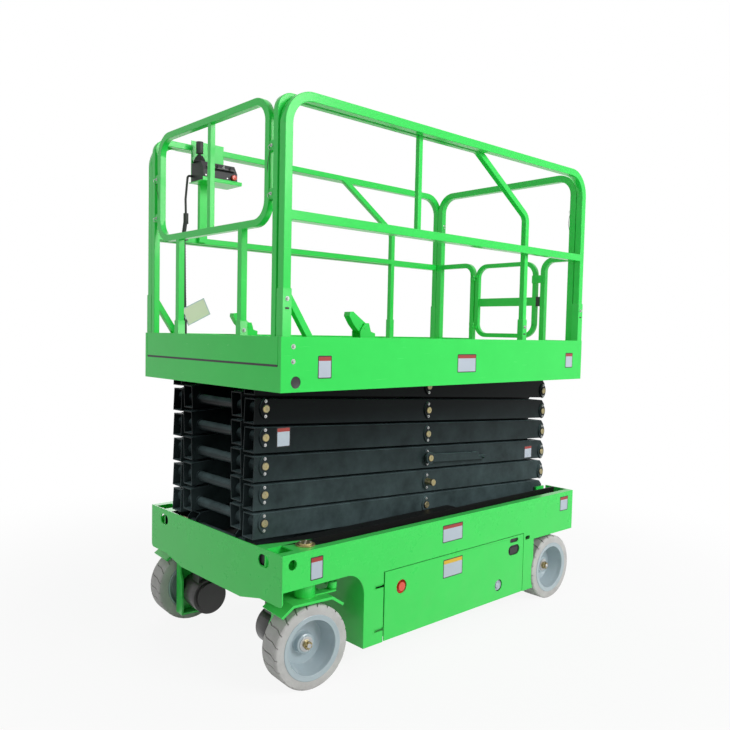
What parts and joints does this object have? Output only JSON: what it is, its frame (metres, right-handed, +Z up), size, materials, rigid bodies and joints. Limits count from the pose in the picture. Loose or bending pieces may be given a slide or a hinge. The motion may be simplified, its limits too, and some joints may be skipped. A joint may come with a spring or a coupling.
{
  "type": "scissor lift",
  "caption": "Self-propelled electric slab scissor lift with a folded scissor stack, railed platform with roll-out deck, rear gate, swing-out trays and steered front wheels.",
  "frame": {"origin": "on the floor, midway between the sides, 4 mm ahead of the middle of the chassis", "axes": "+X forward towards the steered wheels, +Y to the left side, +Z up"},
  "size_m": [2.354, 1.2242, 2.612],
  "materials": {
    "chassis_paint": "gloss green paint",
    "arm_paint": "satin charcoal paint",
    "deck_paint": "gloss green paint",
    "rail_paint": "gloss green paint",
    "step_paint": "gloss green paint",
    "rim_paint": "satin pale grey paint",
    "black_paint": "gloss black paint",
    "zinc": "zinc plated steel",
    "chrome": "hard chrome",
    "black_plastic": "moulded black plastic",
    "red_plastic": "glossy red plastic",
    "cable_rubber": "black sheath",
    "tyre": "solid grey non-marking rubber"
  },
  "bodies": {
    "chassis": {"chassis_frame": "chassis_paint", "chassis_pins": "zinc", "rear_spindles": "zinc", "entry_ladder": "step_paint"},
    "tray_left": {"tray_left": "chassis_paint", "battery_block": "black_plastic", "stop_button": "red_plastic"},
    "tray_right": {"tray_right": "chassis_paint", "power_unit": "black_plastic"},
    "knuckle_left": {"knuckle_left": "chassis_paint", "drive_motor_left": "black_paint"},
    "knuckle_right": {"knuckle_right": "chassis_paint", "drive_motor_right": "black_paint"},
    "tie_rod": {"tie_rod": "chassis_paint"},
    "slide_blocks_bottom": {"slide_blocks_bottom": "black_plastic"},
    "slide_blocks_top": {"slide_blocks_top": "black_plastic"},
    "lift_barrel_lower": {"lift_barrel_lower": "black_paint"},
    "lift_rod_lower": {"lift_rod_lower": "chrome"},
    "lift_barrel_upper": {"lift_barrel_upper": "black_paint"},
    "lift_rod_upper": {"lift_rod_upper": "chrome"},
    "platform": {"platform_deck": "deck_paint", "side_rail_left": "rail_paint", "side_rail_right": "rail_paint", "rear_rail": "rail_paint"},
    "extension": {"extension_deck": "deck_paint", "extension_rail_left": "rail_paint", "extension_rail_right": "rail_paint", "front_rail": "rail_paint", "control_box": "black_plastic", "control_bracket": "rail_paint", "control_cable": "cable_rubber", "lock_pedals": "rail_paint"},
    "gate": {"gate": "rail_paint"},
    "wheel_front_left": {"tyre_front_left": "tyre", "rim_front_left": "rim_paint"},
    "wheel_front_right": {"tyre_front_right": "tyre", "rim_front_right": "rim_paint"},
    "wheel_rear_left": {"tyre_rear_left": "tyre", "rim_rear_left": "rim_paint"},
    "wheel_rear_right": {"tyre_rear_right": "tyre", "rim_rear_right": "rim_paint"},
    "outer_1": {"outer_arms_1": "arm_paint"},
    "inner_1": {"inner_arms_1": "arm_paint", "pins_1": "zinc"},
    "outer_2": {"outer_arms_2": "arm_paint"},
    "inner_2": {"inner_arms_2": "arm_paint", "pins_2": "zinc"},
    "outer_3": {"outer_arms_3": "arm_paint", "safety_prop": "arm_paint"},
    "inner_3": {"inner_arms_3": "arm_paint", "pins_3": "zinc"},
    "outer_4": {"outer_arms_4": "arm_paint"},
    "inner_4": {"inner_arms_4": "arm_paint", "pins_4": "zinc"},
    "outer_5": {"outer_arms_5": "arm_paint"},
    "inner_5": {"inner_arms_5": "arm_paint", "pins_5": "zinc"},
    "outer_6": {"outer_arms_6": "arm_paint"},
    "inner_6": {"inner_arms_6": "arm_paint", "pins_6": "zinc"}
  },
  "joints": [
    {"name": "lift", "type": "hinge", "parent": "chassis", "child": "outer_1", "pos_m": [-1.101, 0, 0.594], "axis": [0, -1, 0], "range_deg": [0, 55]},
    {"name": "cross_1", "type": "hinge", "parent": "outer_1", "child": "inner_1", "pos_m": [-0.0175, 0, 0.6591], "axis": [0, -1, 0], "range_deg": [-110, 0]},
    {"name": "rear_1", "type": "hinge", "parent": "inner_1", "child": "outer_2", "pos_m": [-1.101, 0, 0.7242], "axis": [0, -1, 0], "range_deg": [0, 110]},
    {"name": "cross_2", "type": "hinge", "parent": "outer_2", "child": "inner_2", "pos_m": [-0.0175, 0, 0.7893], "axis": [0, -1, 0], "range_deg": [-110, 0]},
    {"name": "rear_2", "type": "hinge", "parent": "inner_2", "child": "outer_3", "pos_m": [-1.101, 0, 0.8544], "axis": [0, -1, 0], "range_deg": [0, 110]},
    {"name": "cross_3", "type": "hinge", "parent": "outer_3", "child": "inner_3", "pos_m": [-0.0175, 0, 0.9195], "axis": [0, -1, 0], "range_deg": [-110, 0]},
    {"name": "rear_3", "type": "hinge", "parent": "inner_3", "child": "outer_4", "pos_m": [-1.101, 0, 0.9846], "axis": [0, -1, 0], "range_deg": [0, 110]},
    {"name": "cross_4", "type": "hinge", "parent": "outer_4", "child": "inner_4", "pos_m": [-0.0175, 0, 1.0497], "axis": [0, -1, 0], "range_deg": [-110, 0]},
    {"name": "rear_4", "type": "hinge", "parent": "inner_4", "child": "outer_5", "pos_m": [-1.101, 0, 1.1148], "axis": [0, -1, 0], "range_deg": [0, 110]},
    {"name": "cross_5", "type": "hinge", "parent": "outer_5", "child": "inner_5", "pos_m": [-0.0175, 0, 1.1799], "axis": [0, -1, 0], "range_deg": [-110, 0]},
    {"name": "rear_5", "type": "hinge", "parent": "inner_5", "child": "outer_6", "pos_m": [-1.101, 0, 1.245], "axis": [0, -1, 0], "range_deg": [0, 110]},
    {"name": "cross_6", "type": "hinge", "parent": "outer_6", "child": "inner_6", "pos_m": [-0.0175, 0, 1.3101], "axis": [0, -1, 0], "range_deg": [-110, 0]},
    {"name": "platform_level", "type": "hinge", "parent": "inner_6", "child": "platform", "pos_m": [-1.101, 0, 1.3752], "axis": [0, -1, 0], "range_deg": [0, 55]},
    {"name": "slide_block_bottom", "type": "hinge", "parent": "inner_1", "child": "slide_blocks_bottom", "pos_m": [1.066, 0, 0.594], "axis": [0, -1, 0], "range_deg": [0, 55]},
    {"name": "slide_block_top", "type": "hinge", "parent": "outer_6", "child": "slide_blocks_top", "pos_m": [1.066, 0, 1.3752], "axis": [0, -1, 0], "range_deg": [-55, 0]},
    {"name": "lift_pivot_lower", "type": "hinge", "parent": "inner_1", "child": "lift_barrel_lower", "pos_m": [-0.8843, 0, 0.71118], "axis": [0, -1, 0], "range_deg": [0, 121]},
    {"name": "lift_stroke_lower", "type": "slide", "parent": "lift_barrel_lower", "child": "lift_rod_lower", "axis": [0.9938, 0, 0.1109], "range_m": [0, 1.017]},
    {"name": "lift_pivot_upper", "type": "hinge", "parent": "inner_4", "child": "lift_barrel_upper", "pos_m": [-0.8843, 0, 1.10178], "axis": [0, -1, 0], "range_deg": [0, 121]},
    {"name": "lift_stroke_upper", "type": "slide", "parent": "lift_barrel_upper", "child": "lift_rod_upper", "axis": [0.9938, 0, 0.1109], "range_m": [0, 1.017]},
    {"name": "extension", "type": "slide", "parent": "platform", "child": "extension", "axis": [1, 0, 0], "range_m": [0, 0.9]},
    {"name": "gate", "type": "hinge", "parent": "platform", "child": "gate", "pos_m": [-1.101, -0.211, 1.8], "axis": [0, 0, -1], "range_deg": [0, 90]},
    {"name": "steer_left", "type": "hinge", "parent": "chassis", "child": "knuckle_left", "pos_m": [0.942, 0.52, 0.4], "axis": [0, 0, 1], "range_deg": [-44.7, 55.3]},
    {"name": "steer_right", "type": "hinge", "parent": "chassis", "child": "knuckle_right", "pos_m": [0.942, -0.52, 0.4], "axis": [0, 0, 1], "range_deg": [-44.7, 55.3]},
    {"name": "tie_rod_end", "type": "hinge", "parent": "knuckle_left", "child": "tie_rod", "pos_m": [0.79264, 0.53386, 0.432], "axis": [0, 0, 1], "range_deg": [-55.3, 44.7]},
    {"name": "wheel_front_left", "type": "hinge", "parent": "knuckle_left", "child": "wheel_front_left", "pos_m": [0.94306, 0.53145, 0.1905], "axis": [0.0924, 0.9957, 0], "continuous": true},
    {"name": "wheel_front_right", "type": "hinge", "parent": "knuckle_right", "child": "wheel_front_right", "pos_m": [0.94094, -0.53145, 0.1905], "axis": [0.0924, 0.9957, 0], "continuous": true},
    {"name": "wheel_rear_left", "type": "hinge", "parent": "chassis", "child": "wheel_rear_left", "pos_m": [-0.914, 0.5315, 0.1905], "axis": [0, 1, 0], "continuous": true},
    {"name": "wheel_rear_right", "type": "hinge", "parent": "chassis", "child": "wheel_rear_right", "pos_m": [-0.914, -0.5315, 0.1905], "axis": [0, 1, 0], "continuous": true},
    {"name": "tray_left", "type": "hinge", "parent": "chassis", "child": "tray_left", "pos_m": [0.56, 0.575, 0.27], "axis": [0, 0, -1], "range_deg": [0, 90]},
    {"name": "tray_right", "type": "hinge", "parent": "chassis", "child": "tray_right", "pos_m": [0.56, -0.575, 0.27], "axis": [0, 0, 1], "range_deg": [0, 90]}
  ],
  "couplings": [
    {"joint": "cross_1", "follows": "lift", "ratio": -2},
    {"joint": "rear_1", "follows": "lift", "ratio": 2},
    {"joint": "cross_2", "follows": "lift", "ratio": -2},
    {"joint": "rear_2", "follows": "lift", "ratio": 2},
    {"joint": "cross_3", "follows": "lift", "ratio": -2},
    {"joint": "rear_3", "follows": "lift", "ratio": 2},
    {"joint": "cross_4", "follows": "lift", "ratio": -2},
    {"joint": "rear_4", "follows": "lift", "ratio": 2},
    {"joint": "cross_5", "follows": "lift", "ratio": -2},
    {"joint": "rear_5", "follows": "lift", "ratio": 2},
    {"joint": "cross_6", "follows": "lift", "ratio": -2},
    {"joint": "platform_level", "follows": "lift", "ratio": 1},
    {"joint": "slide_block_bottom", "follows": "lift", "ratio": 1},
    {"joint": "slide_block_top", "follows": "lift", "ratio": -1},
    {"joint": "lift_pivot_lower", "follows": "lift", "ratio": 2.1878},
    {"joint": "lift_stroke_lower", "follows": "lift", "m_per_rad": 1.0485},
    {"joint": "lift_pivot_upper", "follows": "lift", "ratio": 2.1878},
    {"joint": "lift_stroke_upper", "follows": "lift", "m_per_rad": 1.0485},
    {"joint": "steer_right", "follows": "steer_left", "ratio": 1},
    {"joint": "tie_rod_end", "follows": "steer_left", "ratio": -1}
  ]
}
